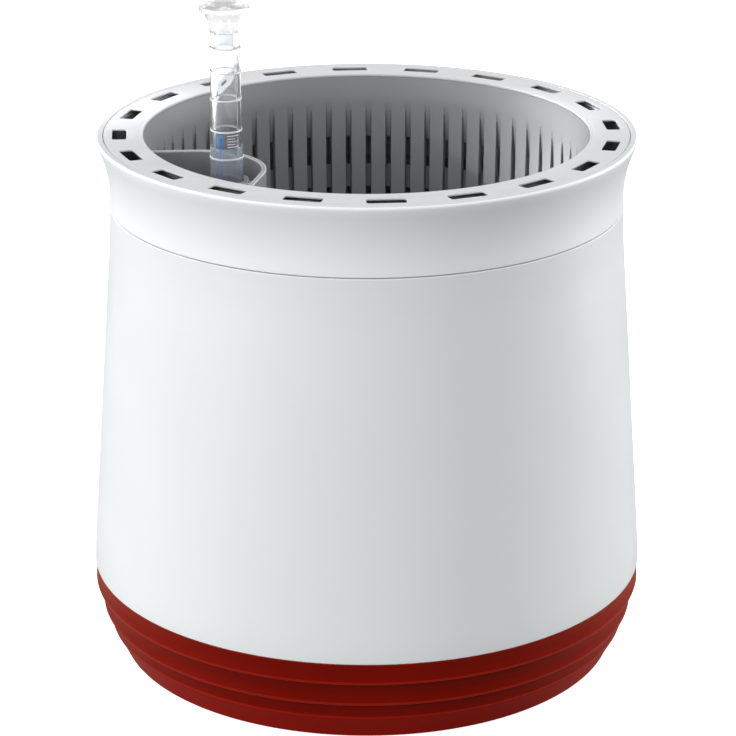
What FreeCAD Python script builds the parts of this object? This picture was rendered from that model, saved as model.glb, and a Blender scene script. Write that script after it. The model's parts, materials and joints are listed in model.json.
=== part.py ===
import FreeCAD, Part
import math
import os
import re

import Sketcher

# Self watering planter: a white sleeve with a vented rim on a red stepped water tank, a slotted
# growing basket inside, and a clear level gauge in the basket's fill shaft.
# Millimetres, +Z up, origin on the floor at the middle of the tank.

DRIVING_DIMENSIONS = (
    # water tank: four stepped bands, foot ring, and the spigot that the sleeve sits over
    ("foot_inner_radius", 108.0),
    ("foot_height", 2.0),
    ("base_radius", 121.5),
    ("base_round", 1.6),
    ("crease_radius", 127.45),
    ("crease_height", 12.9),
    ("low_lip_radius", 130.75),
    ("low_lip_height", 20.9),
    ("low_lip_step", 1.5),
    ("high_lip_radius", 134.2),
    ("high_lip_height", 32.9),
    ("high_lip_step", 2.0),
    ("lip_round", 0.7),
    ("ledge_radius", 134.5),
    ("ledge_height", 43.0),
    ("tank_wall", 2.4),
    ("tank_floor_corner", 4.0),
    ("spigot_radius_low", 131.3),
    ("spigot_radius_high", 128.4),
    ("spigot_bend_height", 52.0),
    ("spigot_height", 90.0),
    # white sleeve
    ("seat_gap", 0.2),
    ("shell_wall", 2.4),
    ("shell_edge_round", 0.6),
    ("shell_radius_base", 134.5),
    ("shell_radius_low", 134.2),
    ("shell_bend_low", 52.0),
    ("shell_radius_high", 123.3),
    ("shell_bend_high", 198.0),
    ("shell_radius_seam", 122.15),
    ("shell_shoulder_curve", 403.0),
    ("seam_height", 224.0),
    ("seam_gap", 0.3),
    ("seam_bevel", 0.35),
    # flared collar
    ("collar_spigot_radius", 119.5),
    ("collar_overlap", 12.0),
    ("collar_wall", 2.4),
    ("neck_radius", 122.0),
    ("neck_height", 229.5),
    ("flare_curve", 63.0),
    ("flare_radius", 126.95),
    ("flare_height", 254.0),
    ("rim_height", 258.0),
    ("rim_radius", 127.8),
    ("rim_edge_round", 1.4),
    ("ledge_inner_radius", 121.0),
    ("ledge_depth", 11.0),
    ("collar_bend_rise", 6.0),
    ("collar_bend_drop", 5.0),
    # vented rim plate
    ("plate_radius", 124.15),
    ("plate_gap", 0.3),
    ("plate_inner_radius", 104.0),
    ("plate_thickness", 2.4),
    ("plate_inner_round", 2.0),
    ("plate_bevel", 0.4),
    ("plate_drop", 0.15),
    ("slot_circle_radius", 116.6),
    ("slot_length", 17.7),
    ("slot_width", 6.7),
    ("slot_corner", 1.3),
    ("slot_count", 20),
    ("slot_first_angle", 4.24),
    # growing basket
    ("liner_radius_top", 103.4),
    ("liner_radius_base", 100.5),
    ("liner_wall", 2.0),
    ("liner_base_height", 86.0),
    ("liner_flange_radius", 111.0),
    ("liner_flange", 1.8),
    ("floor_ring_inner", 90.0),
    ("floor_ring_thickness", 2.4),
    ("air_slot_width", 2.3),
    ("air_slot_height", 14.6),
    ("air_slot_pitch", 26.5),
    ("air_slot_top", 225.6),
    ("air_column_count", 64),
    ("air_column_angle", -0.5),
    # strainer floor
    ("grate_radius", 100.0),
    ("grate_thickness", 2.4),
    ("grate_hole_radius", 2.5),
    ("grate_hole_count", 20),
    ("grate_outer_circle", 84.0),
    ("grate_inner_circle", 24.0),
    ("grate_inner_count", 8),
    ("shaft_outlet_x", -60.0),
    ("shaft_outlet_y", -47.0),
    ("shaft_outlet_radius", 14.0),
    # fill shaft partition: two straight legs joined by one round corner
    ("shaft_x", -78.1),
    ("shaft_y", -54.2),
    ("shaft_corner", 31.4),
    ("shaft_wall", 2.0),
    ("shaft_top", 254.1),
    ("back_leg_angle", 3.4),
    ("front_leg_angle", 77.0),
    ("leg_reach_x", -106.0),
    ("leg_reach_y", -98.0),
    ("wall_clearance", 0.1),
    # wick cups and wicks
    ("cup_circle_radius", 55.0),
    ("cup_first_angle", -54.0),
    ("cup_radius_top", 15.8),
    ("cup_radius_base", 13.0),
    ("cup_wall", 1.6),
    ("cup_base_height", 6.0),
    ("cup_flange_radius", 19.0),
    ("cup_flange", 1.6),
    ("cup_hole_radius", 16.1),
    ("cup_slot_width", 3.0),
    ("cup_slot_base", 12.0),
    ("cup_slot_height", 60.0),
    ("cup_slot_count", 6),
    ("wick_clearance", 0.3),
    ("wick_height", 97.0),
    # level gauge
    ("gauge_x", -64.0),
    ("gauge_y", -46.0),
    ("tube_radius", 7.0),
    ("tube_bore", 5.2),
    ("tube_base", 230.0),
    ("tube_top", 316.3),
    ("sleeve_radius", 7.5),
    ("sleeve_socket", 7.05),
    ("sleeve_top", 263.0),
    ("sleeve_base", 95.0),
    ("cage_bore", 6.5),
    ("cage_base", 8.0),
    ("cage_slot_width", 2.0),
    ("cage_slot_base", 16.0),
    ("cage_slot_height", 60.0),
    ("cage_slot_count", 4),
    ("end_cap_base", 5.0),
    ("end_cap_spigot", 1.5),
    ("fit_clearance", 0.05),
    ("guide_thickness", 5.0),
    ("guide_clearance", 0.35),
    ("cap_spigot_radius", 5.15),
    ("cap_spigot_base", 309.0),
    ("cap_neck_radius", 8.2),
    ("cap_neck_height", 321.9),
    ("cap_throat_radius", 9.55),
    ("cap_throat_height", 325.7),
    ("cap_flange_radius", 11.65),
    ("cap_flange_height", 326.3),
    ("cap_top", 328.4),
    ("cap_edge_round", 0.8),
    ("cap_bore", 3.9),
    ("cap_step", 1.1),
    ("cap_step_one", 316.3),
    ("cap_step_two", 319.7),
    ("cap_step_three", 322.9),
    ("ring_proud", 0.5),
    ("ring_thickness", 1.0),
    # how far a cut reaches past the face that it starts from
    ("cut_margin", 1.0),
    # float
    ("rod_radius", 1.0),
    ("rod_offset", -2.9),
    ("rod_top", 264.0),
    ("rod_seat_depth", 6.0),
    ("tip_radius", 1.25),
    ("tip_height", 4.0),
    ("float_radius", 6.1),
    ("float_base", 10.2),
    ("float_length", 42.0),
    ("float_round", 2.0),
    # bracket that holds the gauge in the shaft
    ("bracket_bore", 7.9),
    ("bracket_wall", 2.0),
    ("bracket_base", 239.0),
    ("bracket_height", 8.0),
    ("bracket_angle", -25.0),
    ("bracket_reach_near", 16.85),
    ("bracket_reach_far", 18.8),
    ("bracket_arm_width", 4.0),
    ("bracket_mouth", 9.0),
)

# Heights of the five raised rings, from the rim plane; the lowest sits on the sleeve.
LEVEL_RING_RISES = (0.0, 12.7, 27.3, 40.0, 51.0)
AIR_SLOT_ROWS = 5
CUP_NAMES = ("a", "b", "c")
CUP_SPACING_DEGREES = 90

# Top of the strainer floor, where the fill shaft and the wick cups start.
SHAFT_BASE = "liner_base_height + floor_ring_thickness + grate_thickness"

doc = FreeCAD.newDocument("self_watering_planter")
sheet = doc.addObject("Spreadsheet::Sheet", "Dims")
for row, (alias, number) in enumerate(DRIVING_DIMENSIONS, 1):
    sheet.set("A%d" % row, alias)
    sheet.set("B%d" % row, str(number))
    sheet.setAlias("B%d" % row, alias)
doc.recompute()

parts = []


def bound(expression):
    """The expression with every word turned into a cell of the sheet."""
    return re.sub(r"[a-z][a-z_]+", lambda word: "Dims." + word.group(0), str(expression))


def value(expression):
    return float(sheet.evalExpression(bound(expression)))


def keep(obj, label):
    """Adds a finished sub-part to the list that is checked and written."""
    obj.Label = label
    parts.append(obj)
    return obj


def place(obj, x="0", y="0", z="0", angle="0"):
    """Moves a sub-part to its place in the planter, with its place bound to the sheet."""
    obj.setExpression("Placement.Base.x", bound(x))
    obj.setExpression("Placement.Base.y", bound(y))
    obj.setExpression("Placement.Base.z", bound(z))
    obj.setExpression("Placement.Rotation.Angle", bound(angle))
    obj.Placement.Rotation.Axis = FreeCAD.Vector(0, 0, 1)


def origin_plane(body, role):
    return next(item for item in body.Origin.OriginFeatures if item.Role == role)


def pin_point(sketch, geometry, position, x, y):
    """Fixes one point of a sketch at a pair of sheet expressions."""
    for kind, expression, axis in (("DistanceX", x, -2), ("DistanceY", y, -1)):
        number = value(expression)
        if abs(number) < 1e-9:
            sketch.addConstraint(Sketcher.Constraint("PointOnObject", geometry, position, axis))
            continue
        index = sketch.addConstraint(Sketcher.Constraint(kind, -1, 1, geometry, position, number))
        sketch.setExpression("Constraints[%d]" % index, bound(expression))


def arc_middle(start, end, radius, side):
    """The middle point of an arc from start to end; side +1 bulges to the right of that way."""
    chord = end - start
    half = chord.Length / 2
    rise = radius - math.sqrt(radius * radius - half * half)
    right = FreeCAD.Vector(chord.y, -chord.x, 0)
    right.normalize()
    return (start + end) * 0.5 + right * (rise * side)


def draw_outline(sketch, corners):
    """Draws a closed outline. A corner is (x, y), or (x, y, radius, side) where an arc follows it."""
    points = [FreeCAD.Vector(value(corner[0]), value(corner[1]), 0) for corner in corners]
    edges = []
    for index, corner in enumerate(corners):
        start = points[index]
        end = points[(index + 1) % len(points)]
        if len(corner) == 2:
            geometry = sketch.addGeometry(Part.LineSegment(start, end))
            edges.append((geometry, 1, 2))
            continue
        middle = arc_middle(start, end, value(corner[2]), corner[3])
        geometry = sketch.addGeometry(Part.Arc(start, middle, end))
        if sketch.getPoint(geometry, 1).distanceToPoint(start) < 1e-6:
            edges.append((geometry, 1, 2))
        else:
            edges.append((geometry, 2, 1))
    for index, (geometry, first, last) in enumerate(edges):
        following, following_first, _ = edges[(index + 1) % len(edges)]
        joint = Sketcher.Constraint("Coincident", geometry, last, following, following_first)
        sketch.addConstraint(joint)
        pin_point(sketch, geometry, first, corners[index][0], corners[index][1])
        if len(corners[index]) == 4:
            radius = Sketcher.Constraint("Radius", geometry, value(corners[index][2]))
            number = sketch.addConstraint(radius)
            sketch.setExpression("Constraints[%d]" % number, bound(corners[index][2]))


def draw_circle(sketch, x, y, radius):
    centre = FreeCAD.Vector(value(x), value(y), 0)
    circle = Part.Circle(centre, FreeCAD.Vector(0, 0, 1), value(radius))
    geometry = sketch.addGeometry(circle)
    pin_point(sketch, geometry, 3, x, y)
    number = sketch.addConstraint(Sketcher.Constraint("Radius", geometry, value(radius)))
    sketch.setExpression("Constraints[%d]" % number, bound(radius))


def new_sketch(body, name, plane):
    sketch = body.newObject("Sketcher::SketchObject", name)
    sketch.AttachmentSupport = [(origin_plane(body, plane), "")]
    sketch.MapMode = "FlatFace"
    return sketch


def turned(name, corners):
    """A body turned about Z from an outline of (radius, height) corners."""
    body = doc.addObject("PartDesign::Body", name)
    sketch = new_sketch(body, name + "_outline", "XZ_Plane")
    draw_outline(sketch, corners)
    turn = body.newObject("PartDesign::Revolution", name + "_turn")
    turn.Profile = sketch
    turn.ReferenceAxis = (sketch, ["V_Axis"])
    turn.Angle = 360
    sketch.Visibility = False
    doc.recompute()
    return body


def rectangle(x, y, width, height):
    """Corners of a rectangle centred on x, standing on y."""
    left = "(%s) - (%s) / 2" % (x, width)
    right = "(%s) + (%s) / 2" % (x, width)
    top = "(%s) + (%s)" % (y, height)
    return [(left, y), (right, y), (right, top), (left, top)]


def cut(body, sketch, length, reverse=False):
    """Cuts a sketch through a body for a length, and stops if nothing was removed."""
    before = body.Shape.Volume
    pocket = body.newObject("PartDesign::Pocket", sketch.Name + "_cut")
    pocket.Profile = sketch
    pocket.Type = "Length"
    pocket.setExpression("Length", bound(length))
    pocket.Reversed = reverse
    sketch.Visibility = False
    doc.recompute()
    if body.Shape.Volume > before - 0.01:
        raise RuntimeError("%s removed nothing" % pocket.Name)
    return pocket


def repeat_round(body, feature, count):
    """Repeats a cut evenly about the body's own Z axis."""
    before = body.Shape.Volume
    pattern = body.newObject("PartDesign::PolarPattern", feature.Name + "_round")
    pattern.Originals = [feature]
    pattern.Axis = (origin_plane(body, "Z_Axis"), [""])
    pattern.Angle = 360
    pattern.setExpression("Occurrences", bound(count))
    body.Tip = pattern
    doc.recompute()
    if body.Shape.Volume > before - 0.01:
        raise RuntimeError("%s removed nothing" % pattern.Name)


def side_windows(body, name, width, base, height, reach, count):
    """An upright window through a turned wall, repeated about its axis."""
    sketch = new_sketch(body, name, "XZ_Plane")
    draw_outline(sketch, rectangle("0", base, width, height))
    window = cut(body, sketch, reach, reverse=True)
    repeat_round(body, window, count)


def reservoir_tank():
    body = turned("reservoir_tank", [
        ("0", "foot_height"),
        ("foot_inner_radius", "foot_height"),
        ("foot_inner_radius", "0"),
        ("base_radius - base_round", "0", "base_round", 1),
        ("base_radius", "base_round"),
        ("crease_radius", "crease_height"),
        ("low_lip_radius - low_lip_step", "low_lip_height"),
        ("low_lip_radius - lip_round", "low_lip_height", "lip_round", 1),
        ("low_lip_radius", "low_lip_height + lip_round"),
        ("high_lip_radius - high_lip_step", "high_lip_height"),
        ("high_lip_radius - lip_round", "high_lip_height", "lip_round", 1),
        ("high_lip_radius", "high_lip_height + lip_round"),
        ("ledge_radius", "ledge_height"),
        ("spigot_radius_low", "ledge_height"),
        ("spigot_radius_low", "spigot_bend_height"),
        ("spigot_radius_high", "spigot_height"),
        ("spigot_radius_high - tank_wall", "spigot_height"),
        ("spigot_radius_low - tank_wall", "spigot_bend_height"),
        ("spigot_radius_low - tank_wall", "ledge_height"),
        ("low_lip_radius - low_lip_step - tank_wall", "low_lip_height"),
        ("base_radius - tank_wall", "foot_height + tank_wall + tank_floor_corner"),
        ("base_radius - tank_wall - tank_floor_corner", "foot_height + tank_wall"),
        ("0", "foot_height + tank_wall"),
    ])
    keep(body, "reservoir_tank")


def outer_shell():
    seam = "seam_height - seam_gap / 2"
    body = turned("outer_shell", [
        ("shell_radius_base - shell_wall", "ledge_height + seat_gap"),
        ("shell_radius_base - shell_edge_round", "ledge_height + seat_gap", "shell_edge_round", 1),
        ("shell_radius_base", "ledge_height + seat_gap + shell_edge_round"),
        ("shell_radius_low", "shell_bend_low"),
        ("shell_radius_high", "shell_bend_high", "shell_shoulder_curve", -1),
        ("shell_radius_seam", seam + " - seam_bevel"),
        ("shell_radius_seam - seam_bevel", seam),
        ("shell_radius_seam - shell_wall", seam),
        ("shell_radius_high - shell_wall", "shell_bend_high"),
        ("shell_radius_low - shell_wall", "shell_bend_low"),
    ])
    keep(body, "outer_shell")


def top_collar():
    seam = "seam_height + seam_gap / 2"
    seat = "rim_height - plate_drop - plate_thickness - seat_gap"
    body = turned("top_collar", [
        ("collar_spigot_radius", "seam_height - collar_overlap"),
        ("collar_spigot_radius", seam),
        ("shell_radius_seam - seam_bevel", seam),
        ("shell_radius_seam", seam + " + seam_bevel"),
        ("neck_radius", "neck_height", "flare_curve", -1),
        ("flare_radius", "flare_height"),
        ("rim_radius", "rim_height - rim_edge_round", "rim_edge_round", 1),
        ("rim_radius - rim_edge_round", "rim_height"),
        ("plate_radius + plate_gap", "rim_height"),
        ("plate_radius + plate_gap", seat),
        ("ledge_inner_radius", seat),
        ("ledge_inner_radius", "rim_height - ledge_depth"),
        ("neck_radius - collar_wall", "neck_height + collar_bend_rise"),
        ("collar_spigot_radius - collar_wall", "neck_height - collar_bend_drop"),
        ("collar_spigot_radius - collar_wall", "seam_height - collar_overlap"),
    ])
    keep(body, "top_collar")


def vent_ring():
    top = "rim_height - plate_drop"
    bottom = top + " - plate_thickness"
    body = turned("vent_ring", [
        ("plate_inner_radius", bottom),
        ("plate_radius", bottom),
        ("plate_radius", top + " - plate_bevel"),
        ("plate_radius - plate_bevel", top),
        ("plate_inner_radius + plate_inner_round", top, "plate_inner_round", 1),
        ("plate_inner_radius", top + " - plate_inner_round"),
    ])
    sketch = new_sketch(body, "vent_slot", "XY_Plane")
    inner = "slot_circle_radius - slot_width / 2"
    outer = "slot_circle_radius + slot_width / 2"
    half = "slot_length / 2"
    draw_outline(sketch, [
        (inner + " + slot_corner", "-(%s)" % half),
        (outer + " - slot_corner", "-(%s)" % half, "slot_corner", 1),
        (outer, "-(%s) + slot_corner" % half),
        (outer, half + " - slot_corner", "slot_corner", 1),
        (outer + " - slot_corner", half),
        (inner + " + slot_corner", half, "slot_corner", 1),
        (inner, half + " - slot_corner"),
        (inner, "-(%s) + slot_corner" % half, "slot_corner", 1),
    ])
    slot = cut(body, sketch, "rim_height + cut_margin", reverse=True)
    repeat_round(body, slot, "slot_count")
    place(body, angle="slot_first_angle")
    keep(body, "vent_ring")


def growing_basket():
    top = "rim_height - plate_drop - plate_thickness"
    body = turned("liner_blank", [
        ("liner_radius_top", top),
        ("liner_radius_top", top + " - liner_flange"),
        ("liner_radius_base", "liner_base_height + floor_ring_thickness"),
        ("floor_ring_inner", "liner_base_height + floor_ring_thickness"),
        ("floor_ring_inner", "liner_base_height"),
        ("liner_radius_base + liner_wall", "liner_base_height"),
        ("liner_radius_top + liner_wall", top + " - liner_flange"),
        ("liner_flange_radius", top + " - liner_flange"),
        ("liner_flange_radius", top),
    ])
    cutters = doc.addObject("Part::Feature", "air_slot_cutters")
    cutters.Shape = air_slot_blocks()
    liner = doc.addObject("Part::Cut", "slotted_liner")
    liner.Base = body
    liner.Tool = cutters
    doc.recompute()
    if liner.Shape.Volume > body.Shape.Volume - 1:
        raise RuntimeError("the air slots removed nothing")
    place(liner, angle="air_column_angle")
    keep(liner, "growing_basket")


def air_slot_blocks():
    """One block for each air slot, in rows down the liner and columns round it."""
    columns = int(value("air_column_count"))
    width = value("air_slot_width")
    height = value("air_slot_height")
    inner = value("floor_ring_inner")
    reach = value("liner_flange_radius") - inner
    blocks = []
    for row_index in range(AIR_SLOT_ROWS):
        base = value("air_slot_top - air_slot_height") - row_index * value("air_slot_pitch")
        for column in range(columns):
            block = Part.makeBox(reach, width, height, FreeCAD.Vector(inner, -width / 2, base))
            block.rotate(FreeCAD.Vector(0, 0, 0), FreeCAD.Vector(0, 0, 1), 90 + column * 360 / columns)
            blocks.append(block)
    return Part.makeCompound(blocks)


def floor_grate():
    base = "liner_base_height + floor_ring_thickness"
    body = turned("floor_grate", [
        ("0", base),
        ("grate_radius", base),
        ("grate_radius", base + " + grate_thickness"),
        ("0", base + " + grate_thickness"),
    ])
    openings = new_sketch(body, "grate_openings", "XY_Plane")
    draw_circle(openings, "shaft_outlet_x", "shaft_outlet_y", "shaft_outlet_radius")
    for index in range(len(CUP_NAMES)):
        x, y = cup_centre(index)
        draw_circle(openings, x, y, "cup_hole_radius")
    cut(body, openings, "rim_height", reverse=True)
    for name, circle, count in (
        ("outer_holes", "grate_outer_circle", "grate_hole_count"),
        ("inner_holes", "grate_inner_circle", "grate_inner_count"),
    ):
        holes = new_sketch(body, name, "XY_Plane")
        draw_circle(holes, circle, "0", "grate_hole_radius")
        hole = cut(body, holes, "rim_height", reverse=True)
        repeat_round(body, hole, count)
    keep(body, "floor_grate")


def cup_centre(index):
    """Where a wick cup stands: three corners of a square, the gauge being at the fourth."""
    angle = "(cup_first_angle + %d)" % (index * CUP_SPACING_DEGREES)
    degrees = value(angle)
    x = "cup_circle_radius * %.9f" % math.cos(math.radians(degrees))
    y = "cup_circle_radius * %.9f" % math.sin(math.radians(degrees))
    return x, y


def fill_shaft_wall():
    """A band of even thickness along two legs and a round corner, cut to the liner's inside."""
    band = doc.addObject("PartDesign::Body", "shaft_band")
    sketch = new_sketch(band, "shaft_plan", "XY_Plane")
    draw_shaft_plan(sketch)
    pad = band.newObject("PartDesign::Pad", "shaft_pad")
    pad.Profile = sketch
    pad.setExpression("Length", bound("shaft_top - (" + SHAFT_BASE + ")"))
    place(band, z=SHAFT_BASE)
    inside = doc.addObject("Part::Cone", "liner_inside")
    inside.setExpression("Radius1", bound("liner_radius_base - wall_clearance"))
    inside.setExpression("Radius2", bound("liner_radius_top - wall_clearance"))
    inside.setExpression("Height", bound("rim_height - liner_base_height"))
    place(inside, z="liner_base_height")
    common = doc.addObject("Part::MultiCommon", "fill_shaft_wall")
    common.Shapes = [band, inside]
    doc.recompute()
    keep(common, "fill_shaft_wall")


def draw_shaft_plan(sketch):
    """Both faces of the partition: each is leg, corner arc, leg, about one corner centre."""
    centre = FreeCAD.Vector(value("shaft_x"), value("shaft_y"), 0)
    back = math.radians(value("back_leg_angle"))
    front = math.radians(value("front_leg_angle"))
    back_normal = FreeCAD.Vector(-math.sin(back), math.cos(back), 0)
    front_normal = FreeCAD.Vector(math.sin(front), -math.cos(front), 0)
    back_way = FreeCAD.Vector(math.cos(back), math.sin(back), 0)
    front_way = FreeCAD.Vector(math.cos(front), math.sin(front), 0)
    faces = []
    for sign in (1, -1):
        radius = "shaft_corner %s shaft_wall / 2" % ("+" if sign > 0 else "-")
        reach = value(radius)
        back_touch = centre + back_normal * reach
        front_touch = centre + front_normal * reach
        back_end = back_touch + back_way * ((value("leg_reach_x") - back_touch.x) / back_way.x)
        front_end = front_touch + front_way * ((value("leg_reach_y") - front_touch.y) / front_way.y)
        middle_way = back_normal + front_normal
        middle_way.normalize()
        leg_one = sketch.addGeometry(Part.LineSegment(back_end, back_touch))
        corner = sketch.addGeometry(Part.Arc(front_touch, centre + middle_way * reach, back_touch))
        leg_two = sketch.addGeometry(Part.LineSegment(front_touch, front_end))
        pin_point(sketch, corner, 3, "shaft_x", "shaft_y")
        bind(sketch, Sketcher.Constraint("Radius", corner, reach), radius)
        sketch.addConstraint(Sketcher.Constraint("Tangent", leg_one, 2, corner, 2))
        sketch.addConstraint(Sketcher.Constraint("Tangent", corner, 1, leg_two, 1))
        far_x = Sketcher.Constraint("DistanceX", -1, 1, leg_one, 1, value("leg_reach_x"))
        bind(sketch, far_x, "leg_reach_x")
        far_y = Sketcher.Constraint("DistanceY", -1, 1, leg_two, 2, value("leg_reach_y"))
        bind(sketch, far_y, "leg_reach_y")
        bind(sketch, Sketcher.Constraint("Angle", leg_one, back), "back_leg_angle * 1 deg")
        turned_back = Sketcher.Constraint("Angle", leg_two, front - math.pi)
        bind(sketch, turned_back, "(front_leg_angle - 180) * 1 deg")
        faces.append((leg_one, leg_two, back_end, front_end))
    (outer_one, outer_two, outer_back, outer_front), (inner_one, inner_two, inner_back, inner_front) = faces
    end_one = sketch.addGeometry(Part.LineSegment(outer_back, inner_back))
    end_two = sketch.addGeometry(Part.LineSegment(outer_front, inner_front))
    for cap, outer, inner, position in (
        (end_one, outer_one, inner_one, 1),
        (end_two, outer_two, inner_two, 2),
    ):
        sketch.addConstraint(Sketcher.Constraint("Coincident", cap, 1, outer, position))
        sketch.addConstraint(Sketcher.Constraint("Coincident", cap, 2, inner, position))


def bind(sketch, constraint, expression):
    """Adds a constraint whose size is a sheet expression."""
    number = sketch.addConstraint(constraint)
    sketch.setExpression("Constraints[%d]" % number, bound(expression).replace("Dims.deg", "deg"))


def tube_bracket():
    """A split ring round the gauge tube, on an arm from the partition."""
    body = turned("tube_bracket", [
        ("bracket_bore", "0"),
        ("bracket_bore + bracket_wall", "0"),
        ("bracket_bore + bracket_wall", "bracket_height"),
        ("bracket_bore", "bracket_height"),
    ])
    arm_plan = new_sketch(body, "bracket_arm_plan", "XY_Plane")
    half = "bracket_arm_width / 2"
    start = "bracket_bore + bracket_wall / 2"
    draw_outline(arm_plan, [
        (start, "-(%s)" % half),
        ("bracket_reach_far", "-(%s)" % half),
        ("bracket_reach_near", half),
        (start, half),
    ])
    arm = body.newObject("PartDesign::Pad", "bracket_arm")
    arm.Profile = arm_plan
    arm.setExpression("Length", bound("bracket_height"))
    doc.recompute()
    mouth = new_sketch(body, "bracket_mouth_plan", "XY_Plane")
    reach = "bracket_bore + bracket_wall + cut_margin"
    side = "bracket_mouth / 2"
    draw_outline(mouth, [
        ("-(%s)" % reach, "-(%s)" % side),
        ("0", "-(%s)" % side),
        ("0", side),
        ("-(%s)" % reach, side),
    ])
    cut(body, mouth, "bracket_height + cut_margin", reverse=True)
    place(body, x="gauge_x", y="gauge_y", z="bracket_base", angle="bracket_angle")
    keep(body, "tube_bracket")


def wick_cup(index, name):
    """A slotted foot that hangs from the strainer floor into the water, with its fleece wick."""
    x, y = cup_centre(index)
    top = SHAFT_BASE
    cup = turned("wick_cup_" + name, [
        ("0", "cup_base_height"),
        ("cup_radius_base", "cup_base_height"),
        ("cup_radius_top", top),
        ("cup_flange_radius", top),
        ("cup_flange_radius", top + " + cup_flange"),
        ("cup_radius_top - cup_wall", top + " + cup_flange"),
        ("cup_radius_base - cup_wall", "cup_base_height + cup_wall"),
        ("0", "cup_base_height + cup_wall"),
    ])
    side_windows(
        cup, "cup_slots_" + name, "cup_slot_width", "cup_slot_base", "cup_slot_height",
        "cup_flange_radius", "cup_slot_count",
    )
    place(cup, x=x, y=y, angle="cup_first_angle + %d" % (index * CUP_SPACING_DEGREES))
    keep(cup, "wick_cup_" + name)
    core = turned("wick_core_" + name, [
        ("0", "cup_base_height + cup_wall"),
        ("cup_radius_base - cup_wall - wick_clearance", "cup_base_height + cup_wall"),
        ("cup_radius_top - cup_wall - wick_clearance", top + " + cup_flange"),
        ("cup_radius_top - cup_wall - wick_clearance", "wick_height"),
        ("0", "wick_height"),
    ])
    place(core, x=x, y=y)
    keep(core, "wick_core_" + name)


def gauge_part(name, corners):
    """A turned piece on the gauge's own axis."""
    body = turned(name, corners)
    place(body, x="gauge_x", y="gauge_y")
    keep(body, name)
    return body


def level_gauge():
    gauge_part("gauge_tube", [
        ("tube_bore", "tube_base"),
        ("tube_radius", "tube_base"),
        ("tube_radius", "tube_top"),
        ("tube_bore", "tube_top"),
    ])
    gauge_part("gauge_cap", [
        ("cap_bore", "cap_spigot_base"),
        ("cap_spigot_radius", "cap_spigot_base"),
        ("cap_spigot_radius", "tube_top"),
        ("tube_radius", "tube_top"),
        ("cap_neck_radius", "cap_neck_height"),
        ("cap_throat_radius", "cap_throat_height"),
        ("cap_flange_radius", "cap_flange_height"),
        ("cap_flange_radius", "cap_top - cap_edge_round", "cap_edge_round", 1),
        ("cap_flange_radius - cap_edge_round", "cap_top"),
        ("0", "cap_top"),
        ("0", "cap_step_three"),
        ("cap_bore - 2 * cap_step", "cap_step_three"),
        ("cap_bore - 2 * cap_step", "cap_step_two"),
        ("cap_bore - cap_step", "cap_step_two"),
        ("cap_bore - cap_step", "cap_step_one"),
        ("cap_bore", "cap_step_one"),
    ])
    gauge_part("gauge_sleeve", [
        ("tube_bore", "sleeve_base"),
        ("sleeve_radius", "sleeve_base"),
        ("sleeve_radius", "sleeve_top"),
        ("sleeve_socket", "sleeve_top"),
        ("sleeve_socket", "tube_base"),
        ("tube_bore", "tube_base"),
    ])
    cage = turned("float_cage", [
        ("cage_bore", "cage_base"),
        ("sleeve_radius", "cage_base"),
        ("sleeve_radius", "sleeve_base"),
        ("cage_bore", "sleeve_base"),
    ])
    side_windows(
        cage, "cage_slots", "cage_slot_width", "cage_slot_base", "cage_slot_height",
        "sleeve_radius + cut_margin", "cage_slot_count",
    )
    place(cage, x="gauge_x", y="gauge_y")
    keep(cage, "float_cage")
    gauge_part("cage_end_cap", [
        ("0", "end_cap_base"),
        ("sleeve_radius", "end_cap_base"),
        ("sleeve_radius", "cage_base"),
        ("cage_bore - fit_clearance", "cage_base"),
        ("cage_bore - fit_clearance", "cage_base + end_cap_spigot"),
        ("0", "cage_base + end_cap_spigot"),
    ])
    rod_guide()
    for index, rise in enumerate(LEVEL_RING_RISES, 1):
        seat = "sleeve_radius" if rise == 0.0 else "tube_radius"
        base = "rim_height + %s - ring_thickness / 2" % rise
        gauge_part("level_ring_%d" % index, [
            (seat, base),
            (seat + " + ring_proud", base + " + ring_thickness / 4"),
            (seat + " + ring_proud", base + " + ring_thickness * 3 / 4"),
            (seat, base + " + ring_thickness"),
        ])


def rod_guide():
    """A bush in the foot of the sleeve; its hole is off centre, where the rod runs."""
    guide = turned("rod_guide", [
        ("0", "sleeve_base"),
        ("tube_bore", "sleeve_base"),
        ("tube_bore", "sleeve_base + guide_thickness"),
        ("0", "sleeve_base + guide_thickness"),
    ])
    hole = new_sketch(guide, "rod_hole", "XY_Plane")
    draw_circle(hole, "rod_offset", "0", "rod_radius + guide_clearance")
    cut(guide, hole, "rim_height", reverse=True)
    place(guide, x="gauge_x", y="gauge_y")
    keep(guide, "rod_guide")


def float_parts():
    seat = "float_base + float_length - rod_seat_depth"
    rod = turned("float_rod", [
        ("0", seat),
        ("rod_radius", seat),
        ("rod_radius", "rod_top"),
        ("0", "rod_top"),
    ])
    place(rod, x="gauge_x + rod_offset", y="gauge_y")
    keep(rod, "float_rod")
    tip = turned("rod_tip", [
        ("0", "rod_top"),
        ("tip_radius", "rod_top"),
        ("tip_radius", "rod_top + tip_height - tip_radius", "tip_radius", 1),
        ("0", "rod_top + tip_height"),
    ])
    place(tip, x="gauge_x + rod_offset", y="gauge_y")
    keep(tip, "rod_tip")
    top = "float_base + float_length"
    floater = turned("float_body", [
        ("0", "float_base"),
        ("float_radius - float_round", "float_base", "float_round", 1),
        ("float_radius", "float_base + float_round"),
        ("float_radius", top + " - float_round", "float_round", 1),
        ("float_radius - float_round", top),
        ("0", top),
    ])
    seat_sketch = new_sketch(floater, "rod_seat", "XY_Plane")
    draw_circle(seat_sketch, "rod_offset", "0", "rod_radius")
    seat_sketch.setExpression("AttachmentOffset.Base.z", bound(top))
    cut(floater, seat_sketch, "rod_seat_depth")
    place(floater, x="gauge_x", y="gauge_y")
    keep(floater, "float_body")


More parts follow.
